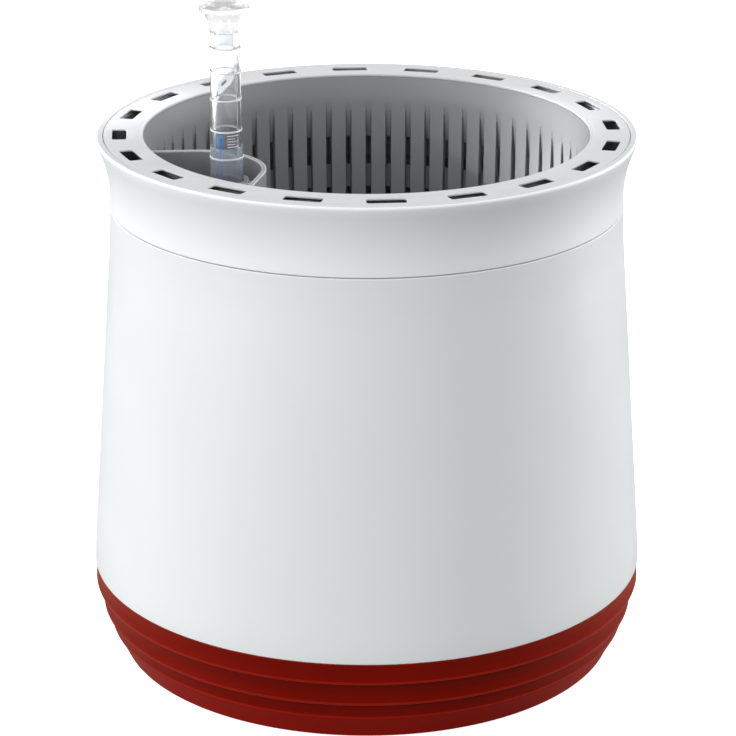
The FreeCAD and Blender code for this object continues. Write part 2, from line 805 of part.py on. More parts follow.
reservoir_tank()
outer_shell()
top_collar()
vent_ring()
growing_basket()
floor_grate()
fill_shaft_wall()
tube_bracket()
for cup_index, cup_name in enumerate(CUP_NAMES):
    wick_cup(cup_index, cup_name)
level_gauge()
float_parts()
doc.recompute()

for item in doc.Objects:
    if "Invalid" in item.State or "Error" in item.State:
        raise RuntimeError("%s failed: %s" % (item.Name, item.State))
for part in parts:
    if part.Shape.isNull() or not part.Shape.isValid():
        raise RuntimeError("%s has no valid shape" % part.Label)

os.makedirs("parts", exist_ok=True)
for part in parts:
    part.Shape.exportStep(os.path.join("parts", part.Label + ".step"))
    print("%-18s %10.1f mm3, solids %d" % (part.Label, part.Shape.Volume, len(part.Shape.Solids)))
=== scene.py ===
import json
import math

import bmesh
import bpy
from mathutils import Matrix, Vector


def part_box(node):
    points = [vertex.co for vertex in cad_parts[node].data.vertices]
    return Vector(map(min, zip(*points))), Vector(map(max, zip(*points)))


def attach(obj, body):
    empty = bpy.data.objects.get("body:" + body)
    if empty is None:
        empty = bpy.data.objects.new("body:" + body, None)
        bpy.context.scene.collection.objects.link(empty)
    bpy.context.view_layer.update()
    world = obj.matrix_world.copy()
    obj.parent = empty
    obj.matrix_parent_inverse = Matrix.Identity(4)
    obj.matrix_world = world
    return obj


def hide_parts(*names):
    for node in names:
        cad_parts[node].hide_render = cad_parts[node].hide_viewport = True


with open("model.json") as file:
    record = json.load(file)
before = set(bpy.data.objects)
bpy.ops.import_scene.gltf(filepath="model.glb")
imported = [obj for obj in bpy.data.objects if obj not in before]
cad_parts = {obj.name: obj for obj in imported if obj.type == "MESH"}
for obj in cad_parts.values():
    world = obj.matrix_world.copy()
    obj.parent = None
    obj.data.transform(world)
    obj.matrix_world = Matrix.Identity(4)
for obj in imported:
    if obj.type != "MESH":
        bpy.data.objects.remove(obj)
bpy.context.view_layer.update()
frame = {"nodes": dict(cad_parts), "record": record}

MM = 0.001
ROUND_SEGMENTS = 256
ROUNDING_STEPS = 6
BEND_STEPS = 16


# ---------------------------------------------------------------- camera

CAMERA_PITCH = math.radians(20.2)
CAMERA_DISTANCE = 1.3891
CAMERA_TARGET_DROP = 0.12057
CAMERA_LENS = 139.45
CAMERA_SHIFT = (0.0018, 0.0007)


def add_camera():
    data = bpy.data.cameras.new("camera")
    data.sensor_width = 36.0
    data.lens = CAMERA_LENS
    data.shift_x, data.shift_y = CAMERA_SHIFT
    camera = bpy.data.objects.new("camera", data)
    target = Vector((0.0, 0.0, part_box("top_collar")[1].z - CAMERA_TARGET_DROP))
    back = Vector((0.0, -math.cos(CAMERA_PITCH), math.sin(CAMERA_PITCH)))
    camera.location = target + back * CAMERA_DISTANCE
    camera.rotation_euler = (math.pi / 2 - CAMERA_PITCH, 0.0, 0.0)
    bpy.context.scene.collection.objects.link(camera)
    bpy.context.scene.camera = camera


add_camera()


# ---------------------------------------------------------------- shaders

class Shader:
    """A material whose nodes are added one by one."""

    def __init__(self, name):
        self.material = bpy.data.materials.new(name)
        self.material.use_nodes = True
        self.tree = self.material.node_tree
        self.surface = self.tree.nodes["Principled BSDF"]
        self.place = self.add("ShaderNodeTexCoord").outputs["Object"]

    def add(self, kind, **settings):
        node = self.tree.nodes.new(kind)
        for key, setting in settings.items():
            setattr(node, key, setting)
        return node

    def link(self, output, socket):
        self.tree.links.new(output, socket)

    def drive(self, **outputs):
        """Links node outputs to the shader's sockets."""
        for key, output in outputs.items():
            self.link(output, self.surface.inputs[key.replace("_", " ").title()])

    def set(self, **constants):
        """Constants straight on the shader's own sockets."""
        for key, constant in constants.items():
            self.surface.inputs[key.replace("_", " ").title().replace("Ior", "IOR")].default_value = constant

    def stretched(self, x, y, z):
        """Object coordinates scaled along each axis."""
        mapping = self.add("ShaderNodeMapping")
        mapping.inputs["Scale"].default_value = (x, y, z)
        self.link(self.place, mapping.inputs["Vector"])
        return mapping.outputs["Vector"]

    def noise(self, scale, detail=3.0, rough=0.5, vector=None):
        node = self.add("ShaderNodeTexNoise")
        node.inputs["Scale"].default_value = scale
        node.inputs["Detail"].default_value = detail
        node.inputs["Roughness"].default_value = rough
        self.link(vector or self.place, node.inputs["Vector"])
        return node.outputs["Fac"]

    def span(self, factor, low, high, start=0.3, end=0.7):
        """Maps a factor from start..end to low..high."""
        node = self.add("ShaderNodeMapRange")
        node.inputs["From Min"].default_value = start
        node.inputs["From Max"].default_value = end
        node.inputs["To Min"].default_value = low
        node.inputs["To Max"].default_value = high
        self.link(factor, node.inputs["Value"])
        return node.outputs["Result"]

    def times(self, first, second):
        node = self.add("ShaderNodeMath", operation="MULTIPLY")
        self.link(first, node.inputs[0])
        self.link(second, node.inputs[1])
        return node.outputs["Value"]

    def mix(self, factor, first, second):
        node = self.add("ShaderNodeMix", data_type="RGBA")
        self.link(factor, node.inputs[0])
        for socket, source in ((node.inputs[6], first), (node.inputs[7], second)):
            if isinstance(source, bpy.types.NodeSocket):
                self.link(source, socket)
            else:
                socket.default_value = (*source, 1.0)
        return node.outputs[2]

    def soft_edge(self, radius):
        """A normal that rounds every edge by a radius, and 1 on those edges, 0 on the flat."""
        bevel = self.add("ShaderNodeBevel", samples=4)
        bevel.inputs["Radius"].default_value = radius
        geometry = self.add("ShaderNodeNewGeometry")
        dot = self.add("ShaderNodeVectorMath", operation="DOT_PRODUCT")
        self.link(bevel.outputs["Normal"], dot.inputs[0])
        self.link(geometry.outputs["Normal"], dot.inputs[1])
        return bevel.outputs["Normal"], self.span(dot.outputs["Value"], 1.0, 0.0, start=0.93, end=0.995)

    def painted_corner_shade(self, reach):
        """0 in the open, up to 1 in a piece's own narrow corners: the mask of the painted shade, found by
        ambient occlusion.
        """
        node = self.add("ShaderNodeAmbientOcclusion", samples=6, only_local=True)
        node.inputs["Distance"].default_value = reach
        return self.span(node.outputs["AO"], 1.0, 0.0, 0.55, 1.0)

    def bump(self, height, strength, distance, under=None):
        node = self.add("ShaderNodeBump")
        node.inputs["Strength"].default_value = strength
        node.inputs["Distance"].default_value = distance
        self.link(height, node.inputs["Height"])
        if under is not None:
            self.link(under, node.inputs["Normal"])
        return node.outputs["Normal"]


def shade(color, amount):
    return tuple(min(1.0, channel * amount) for channel in color)


def moulded_plastic(
    name, color, roughness, grain=2600.0, depth=0.05 * MM, variation=0.03, edge_scuff_and_highlight=None, scuff_and_highlight_range=(0.3, 0.9),
    rounding=0.5 * MM, reflection=(1.0, 1.0, 1.0), gloss=0.5, corner_shade_color=None, reach=7.0 * MM, glow=0.0,
):
    """Injection-moulded plastic: cloudy colour, flow marks, spark-eroded grain, smudges, and edges in a
    lighter colour that is partly scuffing and partly a painted highlight.

    The corner colour is painted shade, mixed into the piece's own corners that are nearer than the reach;
    glow is the tank's red sheen at a grazing look.
    """
    shader = Shader(name)
    tone = shader.span(shader.noise(9.0, 4.0, 0.6), 0.0, 1.0, 0.35, 0.65)
    base = shader.mix(tone, shade(color, 1.0 - variation), shade(color, 1.0 + variation))
    flow = shader.noise(1.0, 2.0, 0.5, shader.stretched(40.0, 40.0, 5.0))
    base = shader.mix(shader.span(flow, 0.0, 0.35), base, shade(color, 1.0 - 1.6 * variation))
    rounded, edge = shader.soft_edge(rounding)
    # Edges take a lighter colour: partly scuffing, partly a painted highlight along rounded edges.
    patches = shader.span(shader.noise(160.0, 4.0, 0.7), *scuff_and_highlight_range, 0.4, 0.7)
    base = shader.mix(shader.times(edge, patches), base, edge_scuff_and_highlight or shade(color, 1.18))
    # Painted shade: the corner colour darkens the narrow corners and recesses that ambient occlusion finds.
    if corner_shade_color:
        base = shader.mix(shader.painted_corner_shade(reach), base, corner_shade_color)
    smudges = shader.span(shader.noise(28.0, 5.0, 0.65), roughness - 0.05, roughness + 0.07)
    fine = shader.bump(shader.noise(grain, 2.0, 0.6), 0.35, depth, under=rounded)
    waves = shader.bump(shader.noise(30.0, 1.0, 0.4), 0.06, 0.4 * MM, under=fine)
    shader.drive(base_color=base, roughness=smudges, normal=waves)
    shader.set(ior=1.47, specular_tint=(*reflection, 1.0), specular_ior_level=gloss)
    if glow:
        shader.set(sheen_weight=glow, sheen_roughness=0.45, sheen_tint=(*GLOW_RED, 1.0))
    return shader.material


def clear_plastic(name, tint, roughness, waviness=0.05, clearness=1.0):
    """Clear moulded styrene: tinted, with slow waves, faint scuffs and, if frosted, some body of its own."""
    shader = Shader(name)
    haze = shader.span(shader.noise(60.0, 5.0, 0.7), 0.0, 1.0, 0.4, 0.7)
    scuffs = shader.noise(1.0, 4.0, 0.7, shader.stretched(900.0, 900.0, 60.0))
    shader.drive(
        base_color=shader.mix(haze, tint, shade(tint, 0.97)),
        roughness=shader.span(scuffs, roughness, roughness + 0.05, 0.5, 0.8),
        normal=shader.bump(shader.noise(120.0, 1.5, 0.5), waviness, 0.2 * MM),
    )
    shader.set(ior=1.45, transmission_weight=clearness)
    return shader.material


def felt(name, color):
    """Needled capillary fleece: tangled fibres and a soft sheen."""
    shader = Shader(name)
    fibres = shader.noise(1.0, 6.0, 0.8, shader.stretched(900.0, 1500.0, 500.0))
    tone = shader.span(fibres, 0.0, 1.0)
    shader.drive(
        base_color=shader.mix(tone, shade(color, 0.72), shade(color, 1.1)),
        roughness=shader.span(fibres, 0.85, 1.0),
        normal=shader.bump(fibres, 0.7, 0.5 * MM),
    )
    shader.set(sheen_weight=0.4, sheen_roughness=0.5)
    return shader.material


def foam(name, color):
    """Closed-cell foam: small round cells."""
    shader = Shader(name)
    cells = shader.add("ShaderNodeTexVoronoi")
    cells.inputs["Scale"].default_value = 900.0
    shader.link(shader.place, cells.inputs["Vector"])
    tone = shader.span(cells.outputs["Distance"], 0.0, 1.0, 0.1, 0.6)
    shader.drive(
        base_color=shader.mix(tone, shade(color, 0.85), color),
        normal=shader.bump(cells.outputs["Distance"], 0.5, 0.3 * MM),
    )
    shader.set(roughness=0.8)
    return shader.material


LINER_GREY = (0.24, 0.247, 0.256)
# The collar's white is lighter than the sleeve's: painted light for its downward-tilted face.
COLLAR_WHITE = (0.83, 0.85, 0.855)
TANK_RED = (0.165, 0.0038, 0.0018)
GLOW_RED = (1.0, 0.18, 0.09)
# Colour of the painted shade in the tank's recesses, under its lips.
CORNER_SHADE_RED = (0.06, 0.001, 0.001)
MIRROR_RED = (1.0, 0.17, 0.08)

MATERIALS = {
    # The tank's red, with a painted highlight in lighter red along its lip edges and painted shade in its
    # recesses.
    "tank_red": moulded_plastic(
        "tank_red", TANK_RED, 0.34, variation=0.07, edge_scuff_and_highlight=(0.45, 0.022, 0.010),
        rounding=0.8 * MM, reflection=MIRROR_RED, gloss=0.15, corner_shade_color=CORNER_SHADE_RED, glow=0.45,
    ),
    # A lighter, glossier copy of the red for the lips: a painted highlight.
    "tank_lip_highlight": moulded_plastic(
        "tank_lip_highlight", shade(TANK_RED, 1.7), 0.28, variation=0.07, edge_scuff_and_highlight=(0.50, 0.03, 0.015),
        rounding=0.5 * MM, reflection=(1.0, 0.35, 0.22), gloss=0.5, glow=0.3,
    ),
    # A lighter copy of the red for the foot band: painted light that stands in for light bounced up off the
    # floor.
    "tank_foot_bounce_light": moulded_plastic(
        "tank_foot_bounce_light", shade(TANK_RED, 1.65), 0.36, variation=0.07, edge_scuff_and_highlight=(0.36, 0.02, 0.01),
        rounding=0.8 * MM, reflection=MIRROR_RED, gloss=0.06, glow=0.14,
    ),
    "shell_white": moulded_plastic("shell_white", (0.755, 0.78, 0.785), 0.42, variation=0.012),
    # A lighter copy of the white for the collar: painted light; its edges turn near white as a painted
    # highlight on the rounded lip.
    "collar_white": moulded_plastic(
        "collar_white", COLLAR_WHITE, 0.42, variation=0.012, edge_scuff_and_highlight=(0.95, 0.95, 0.95),
    ),
    # A darker copy of the white for the rim's upward faces: painted shade that offsets the light falling on
    # them from above.
    "rim_white": moulded_plastic(
        "rim_white", (0.55, 0.557, 0.572), 0.42, variation=0.015, edge_scuff_and_highlight=(0.80, 0.81, 0.82),
    ),
    # The liner grey, with painted shade in its own narrow corners and channels.
    "liner_grey": moulded_plastic(
        "liner_grey", LINER_GREY, 0.46, grain=1800.0, depth=0.1 * MM,
        corner_shade_color=(0.09, 0.092, 0.095), reach=3.0 * MM,
    ),
    # A dark grey for the faces inside the white shell and collar: painted shade.
    "inside_shade_grey": moulded_plastic("inside_shade_grey", (0.25, 0.254, 0.26), 0.6, grain=1800.0, depth=0.1 * MM),
    # The liner grey, with its rounded top edge turned near white: a painted highlight.
    "partition_grey": moulded_plastic(
        "partition_grey", LINER_GREY, 0.46, edge_scuff_and_highlight=(0.97, 0.97, 0.97), scuff_and_highlight_range=(0.8, 1.0), rounding=1.2 * MM,
    ),
    "grate_grey": moulded_plastic("grate_grey", (0.16, 0.165, 0.17), 0.55, grain=1800.0, depth=0.1 * MM),
    "clear": clear_plastic("clear", (0.97, 0.985, 1.0), 0.0),
    "cap_clear": clear_plastic("cap_clear", (1.0, 1.0, 1.0), 0.25, waviness=0.06, clearness=0.80),
    "ring_clear": clear_plastic("ring_clear", (0.97, 0.98, 1.0), 0.10, clearness=0.35),
    "frosted": clear_plastic("frosted", (0.85, 0.90, 0.97), 0.03, waviness=0.10, clearness=0.84),
    "ring_white": moulded_plastic("ring_white", (0.90, 0.92, 0.95), 0.35),
    "rod_blue": moulded_plastic(
        "rod_blue", (0.04, 0.27, 0.70), 0.35, variation=0.06, edge_scuff_and_highlight=(0.16, 0.45, 0.82),
    ),
    "float_foam": foam("float_foam", (0.80, 0.77, 0.66)),
    "fleece": felt("fleece", (0.62, 0.62, 0.59)),
}
OWN_FINISH = {"fill_shaft_wall": "partition_grey", "tube_bracket": "partition_grey", "gauge_cap": "cap_clear"}
SLOT_OF = {part["node"]: part["material_slot"] for part in frame["record"]["subparts"]}

for node_name, node in frame["nodes"].items():
    node.data.materials.clear()
    node.data.materials.append(MATERIALS[OWN_FINISH.get(node_name, SLOT_OF[node_name])])
    node.data.set_sharp_from_angle(angle=math.radians(35))


# ---------------------------------------------------------------- mesh helpers

def base_of(node):
    """Lowest height of a CAD node, in millimetres."""
    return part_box(node)[0].z / MM


def top_of(node):
    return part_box(node)[1].z / MM


def reach_of(node):
    """Outer radius of a CAD node that is turned about the planter's axis, in millimetres."""
    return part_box(node)[1].x / MM


def centre_of(node):
    low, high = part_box(node)
    return (low.x + high.x) / 2, (low.y + high.y) / 2


def rounded(corners):
    """A closed outline of (radius, height) corners; a third number rounds that corner."""
    points = []
    for index, corner in enumerate(corners):
        here = Vector(corner[:2])
        if len(corner) == 2:
            points.append(here)
            continue
        before = Vector(corners[index - 1][:2]) - here
        after = Vector(corners[(index + 1) % len(corners)][:2]) - here
        start = here + before.normalized() * min(corner[2], before.length * 0.48)
        end = here + after.normalized() * min(corner[2], after.length * 0.48)
        for step in range(ROUNDING_STEPS + 1):
            share = step / ROUNDING_STEPS
            points.append(start.lerp(here, share).lerp(here.lerp(end, share), share))
    return points


def hollow_bend(start, end, radius):
    """Corners along an arc from start to end that is hollow on its right-hand side."""
    start, end = Vector(start), Vector(end)
    chord = end - start
    left = Vector((-chord.y, chord.x)).normalized()
    centre = (start + end) / 2 - left * math.sqrt(radius ** 2 - chord.length_squared / 4)
    opening = 2 * math.asin(chord.length / (2 * radius))
    first = math.atan2(start.y - centre.y, start.x - centre.x)
    turn = 1 if (start - centre).cross(end - centre) > 0 else -1
    corners = []
    for step in range(BEND_STEPS + 1):
        angle = first + turn * opening * step / BEND_STEPS
        corners.append((centre.x + radius * math.cos(angle), centre.y + radius * math.sin(angle)))
    return corners


def finish_piece(name, mesh, body, finishes, replaced, sharp=32):
    """Makes a piece of a mesh: smooth faces, finishes, the body it rides on and the nodes it replaces."""
    for finish in finishes:
        mesh.materials.append(MATERIALS[finish])
    for face in mesh.polygons:
        face.use_smooth = True
    mesh.set_sharp_from_angle(angle=math.radians(sharp))
    piece = bpy.data.objects.new(name, mesh)
    bpy.context.scene.collection.objects.link(piece)
    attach(piece, body)
    if replaced:
        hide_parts(*replaced)
    return piece


def lathe(name, outline, centre=(0.0, 0.0), segments=ROUND_SEGMENTS, finish_at=None):
    """A closed mesh turned from a counter-clockwise outline in millimetres."""
    count = len(outline)
    vertices = []
    for segment in range(segments):
        angle = 2 * math.pi * segment / segments
        for point in outline:
            radius = point.x * MM
            vertices.append((
                centre[0] + radius * math.cos(angle),
                centre[1] + radius * math.sin(angle),
                point.y * MM,
            ))
    faces = []
    for segment in range(segments):
        here = segment * count
        there = ((segment + 1) % segments) * count
        for index in range(count):
            following = (index + 1) % count
            faces.append((here + index, there + index, there + following, here + following))
    mesh = bpy.data.meshes.new(name)
    mesh.from_pydata(vertices, [], faces)
    if finish_at:
        for number, face in enumerate(mesh.polygons):
            index = number % count
            middle = (outline[index] + outline[(index + 1) % count]) / 2
            face.material_index = finish_at(middle)
    return mesh


# ---------------------------------------------------------------- tank, sleeve and collar

LEDGE_RADIUS = reach_of("reservoir_tank")
LEDGE_HEIGHT = base_of("outer_shell")
SEAM_HEIGHT = top_of("outer_shell")
RIM_HEIGHT = top_of("top_collar")
RIM_RADIUS = reach_of("top_collar")
SEAM_RADIUS = 122.15
SLEEVE_FOOT_RADIUS = 134.2
SLEEVE_FOOT_HEIGHT = 52.0
SLEEVE_NECK_RADIUS = 123.3
SLEEVE_NECK_HEIGHT = 198.0
SLEEVE_NECK_BEND = 403.0
WALL = 2.4
LIP_ROUND = 0.8


def water_tank():
    """Four bands that step in towards the foot; each is a little hollow and ends in a proud soft lip."""
    spigot_top = top_of("reservoir_tank")
    spigot = 131.3
    spigot_high = 128.4
    floor_low = 2.0
    floor_top = floor_low + WALL
    base = 121.5
    low_band, high_band = 128.6, 131.6
    outline = rounded([
        (0.1, floor_low),
        (108.0, floor_low, 0.8),
        (108.0, 0.0, 0.8),
        (base - 0.3, 0.0, 1.6),
        (124.1, 6.4, 4.0),
        (127.5, 12.2, LIP_ROUND),
        (127.6, 13.2, LIP_ROUND),
        (127.7, 16.4, 3.0),
        (low_band, 20.3, 0.6),
        (131.0, 20.7, LIP_ROUND),
        (130.95, 22.4, LIP_ROUND),
        (130.3, 26.8, 4.0),
        (high_band, 32.3, 0.6),
        (134.35, 32.8, LIP_ROUND),
        (134.3, 34.5, LIP_ROUND),
        (133.8, 38.5, 3.0),
        (LEDGE_RADIUS, LEDGE_HEIGHT - 0.03, 0.3),
        (spigot, LEDGE_HEIGHT - 0.03),
        (spigot, SLEEVE_FOOT_HEIGHT),
        (spigot_high, spigot_top, 0.6),
        (spigot_high - WALL, spigot_top, 0.6),
        (spigot - WALL, SLEEVE_FOOT_HEIGHT),
        (spigot - WALL, LEDGE_HEIGHT),
        (low_band - WALL, 20.9),
        (base - WALL, floor_top + 4.0, 3.0),
        (117.0, floor_top, 3.0),
        (0.1, floor_top),
    ])
    # each lip's lowest and highest point and its least radius
    lips = ((12.4, 13.4, 126.0), (20.9, 22.0, 130.0), (32.95, 34.1, 133.6))
    first_lip = lips[0][0]

    # Faces on the lips take the lighter lip red as a painted highlight, and faces on the foot band take the
    # lighter foot red as painted bounce light from the floor.
    def finish_at(middle):
        if middle.y < first_lip and middle.x > base - 4.0:
            return 2
        return int(any(low < middle.y < high and middle.x > least for low, high, least in lips))

    mesh = lathe("water_tank", outline, finish_at=finish_at)
    finishes = ["tank_red", "tank_lip_highlight", "tank_foot_bounce_light"]
    finish_piece("water_tank", mesh, "tank", finishes, ["reservoir_tank"])


def white_sleeve():
    """The tapered sleeve; its inner face is a dark grey, painted shade for the dim inside that shows through
    the rim's slots.
    """
    corners = [
        (LEDGE_RADIUS - WALL, LEDGE_HEIGHT, 0.4),
        (LEDGE_RADIUS, LEDGE_HEIGHT, 0.5),
        (SLEEVE_FOOT_RADIUS, SLEEVE_FOOT_HEIGHT, 6.0),
        *hollow_bend(
            (SLEEVE_NECK_RADIUS, SLEEVE_NECK_HEIGHT), (SEAM_RADIUS, SEAM_HEIGHT - 0.35), SLEEVE_NECK_BEND,
        ),
        (SEAM_RADIUS - 0.35, SEAM_HEIGHT, 0.2),
        (SEAM_RADIUS - WALL, SEAM_HEIGHT),
        (SLEEVE_NECK_RADIUS - WALL, SLEEVE_NECK_HEIGHT),
        (SLEEVE_FOOT_RADIUS - WALL, SLEEVE_FOOT_HEIGHT),
    ]

    taper = (SLEEVE_NECK_RADIUS - SLEEVE_FOOT_RADIUS) / (SLEEVE_NECK_HEIGHT - SLEEVE_FOOT_HEIGHT)

    def finish_at(middle):
        outer_face = LEDGE_RADIUS
        if middle.y >= SLEEVE_FOOT_HEIGHT:
            outer_face = SLEEVE_FOOT_RADIUS + (middle.y - SLEEVE_FOOT_HEIGHT) * taper
        # Inner faces take the dark inside grey: painted shade.
        return int(middle.x < outer_face - 0.7 * WALL and middle.y < SEAM_HEIGHT - 1.0)

    mesh = lathe("white_sleeve", rounded(corners), finish_at=finish_at)
    finishes = ["shell_white", "inside_shade_grey"]
    finish_piece("white_sleeve", mesh, "shell", finishes, ["outer_shell"])


def white_collar():
    """The flared band above the seam, with the ledge that the vented rim lies on."""
    seam = SEAM_HEIGHT + 0.3
    seat = RIM_HEIGHT - 2.75
    spigot = 119.5
    rim_recess = 124.45
    seat_inner = 121.0
    corners = [
        (spigot, base_of("top_collar"), 0.4),
        (spigot, seam),
        (SEAM_RADIUS - 0.35, seam, 0.2),
        (SEAM_RADIUS, seam + 0.35),
        *hollow_bend((122.0, 229.5), (126.95, 254.0), 63.0),
        (RIM_RADIUS, RIM_HEIGHT - 0.9, 1.0),
        (RIM_RADIUS - 0.7, RIM_HEIGHT, 0.6),
        (rim_recess, RIM_HEIGHT, 0.4),
        (rim_recess, seat),
        (seat_inner, seat, 0.6),
        (seat_inner, RIM_HEIGHT - 11.0),
        (119.6, 235.5),
        (spigot - WALL, 224.5),
        (spigot - WALL, base_of("top_collar"), 0.4),
    ]

    def finish_at(middle):
        # The collar's top faces take the rim's darker white: painted shade against the light from above.
        if middle.y > RIM_HEIGHT - 0.2 and middle.x < RIM_RADIUS - 1.0:
            return 2
        # Inner faces below the seat take the dark inside grey: painted shade.
        return int(middle.x < seat_inner + 0.2 and middle.y < seat + 0.1)

    mesh = lathe("white_collar", rounded(corners), finish_at=finish_at)
    finishes = ["collar_white", "inside_shade_grey", "rim_white"]
    finish_piece("white_collar", mesh, "shell", finishes, ["top_collar"])


water_tank()
white_sleeve()
white_collar()


# ---------------------------------------------------------------- vented rim

RIM_TOP = top_of("vent_ring")
RIM_OUTER = reach_of("vent_ring")
RIM_INNER = 105.5
LIP_DEPTH = 1.2
LIP_SEAT = 107.2
RIM_DEPTH = RIM_TOP - base_of("vent_ring")
PLATE_THICKNESS = 0.9
PLATE_BEVEL = 0.18
SLOTS = 20
FIRST_SLOT_DEGREES = 4.24
SLOT_CIRCLE = 116.6
SLOT_LENGTH = 17.7
SLOT_DEPTH = 6.7
SLOT_CORNER = 1.3


def circle_points(radius, steps=ROUND_SEGMENTS):
    return [
        (radius * math.cos(2 * math.pi * step / steps), radius * math.sin(2 * math.pi * step / steps))
        for step in range(steps)
    ]


def slot_points(turn):
    """A rounded rectangle, long side along the ring, turned to its place."""
    half_depth, half_length = SLOT_DEPTH / 2 - SLOT_CORNER, SLOT_LENGTH / 2 - SLOT_CORNER
    points = []
    for quarter, (x_side, y_side) in enumerate(((1, 1), (-1, 1), (-1, -1), (1, -1))):
        for step in range(ROUNDING_STEPS + 1):
            angle = math.pi / 2 * (quarter + step / ROUNDING_STEPS)
            x = SLOT_CIRCLE + x_side * half_depth + SLOT_CORNER * math.cos(angle)
            y = y_side * half_length + SLOT_CORNER * math.sin(angle)
            turned_x = x * math.cos(turn) - y * math.sin(turn)
            turned_y = x * math.sin(turn) + y * math.cos(turn)
            points.append((turned_x, turned_y))
    return points


def slotted_plate():
    """The thin flat plate with its slots, filled between closed outlines, with small bevels."""
    curve = bpy.data.curves.new("slotted_plate", "CURVE")
    curve.dimensions = "2D"
    curve.fill_mode = "BOTH"
    curve.extrude = (PLATE_THICKNESS / 2 - PLATE_BEVEL) * MM
    curve.bevel_depth = PLATE_BEVEL * MM
    curve.bevel_resolution = 2
    curve.offset = -PLATE_BEVEL * MM
    outlines = [circle_points(RIM_OUTER - 1.0), circle_points(RIM_INNER + 1.6)]
    for slot in range(SLOTS):
        outlines.append(slot_points(math.radians(FIRST_SLOT_DEGREES) + 2 * math.pi * slot / SLOTS))
    for outline in outlines:
        spline = curve.splines.new("POLY")
        spline.points.add(len(outline) - 1)
        spline.use_cyclic_u = True
        for point, (x, y) in zip(spline.points, outline):
            point.co = (x * MM, y * MM, 0.0, 1.0)
    helper = bpy.data.objects.new("slotted_plate_outline", curve)
    bpy.context.scene.collection.objects.link(helper)
    bpy.context.view_layer.update()
    mesh = bpy.data.meshes.new_from_object(helper.evaluated_get(bpy.context.evaluated_depsgraph_get()))
    bpy.data.objects.remove(helper)
    bpy.data.curves.remove(curve)
    shape = bmesh.new()
    shape.from_mesh(mesh)
    bmesh.ops.remove_doubles(shape, verts=shape.verts, dist=0.002 * MM)
    bmesh.ops.recalc_face_normals(shape, faces=shape.faces)
    bmesh.ops.translate(shape, verts=shape.verts, vec=(0.0, 0.0, (RIM_TOP - PLATE_THICKNESS / 2) * MM))
    shape.to_mesh(mesh)
    shape.free()
    mesh.materials.clear()
    return mesh


def vented_rim():
    """The plate, with a soft lip towards the plant, a rib beside it and a seat that lies on the collar."""
    finish_piece("vented_plate", slotted_plate(), "basket", ["rim_white"], ["vent_ring"])
    low = RIM_TOP - RIM_DEPTH
    lip = rounded([
        (RIM_INNER, RIM_TOP - LIP_DEPTH, 0.2),
        (LIP_SEAT, RIM_TOP - LIP_DEPTH),
        (LIP_SEAT, low, 0.2),
        (LIP_SEAT + 1.6, low, 0.2),
        (LIP_SEAT + 1.6, RIM_TOP - 0.05),
        (RIM_INNER, RIM_TOP, 0.7),
    ])
    finish_piece("rim_lip", lathe("rim_lip", lip), "basket", ["rim_white"], ["vent_ring"])
    seat = rounded([
        (RIM_OUTER - 1.9, low),
        (RIM_OUTER, low, 0.3),
        (RIM_OUTER, RIM_TOP, 0.4),
        (RIM_OUTER - 1.9, RIM_TOP - 0.05),
    ])
    finish_piece("rim_seat", lathe("rim_seat", seat), "basket", ["rim_white"], ["vent_ring"])


vented_rim()


# ---------------------------------------------------------------- slotted liner

LINER_TOP = top_of("growing_basket")
LINER_FLANGE = 1.8
LINER_FLANGE_RADIUS = 111.0
LINER_FLOOR = base_of("growing_basket")
LINER_FLOOR_THICKNESS = 2.4
FLOOR_HOLE_RADIUS = 90.0
LINER_RADIUS_TOP = 103.4
LINER_RADIUS_BASE = 100.5
LINER_WALL = 2.0
LINER_FLARE = 1.85
FLARE_DEPTH = 8.0
COLUMNS = 64
FIRST_COLUMN_DEGREES = 89.5
SLOT_WIDTH = 2.3
CHANNEL_WIDTH = 3.0
CHANNEL_START_DEPTH = 12.0
CHANNEL_DEEPEST = 1.7
CHANNEL_SLOPE = 0.10
SLOT_TOP = 225.6
SLOT_HEIGHT = 14.6
SLOT_PITCH = 26.5
SLOT_ROWS = 5
PLAIN_STEPS = 4


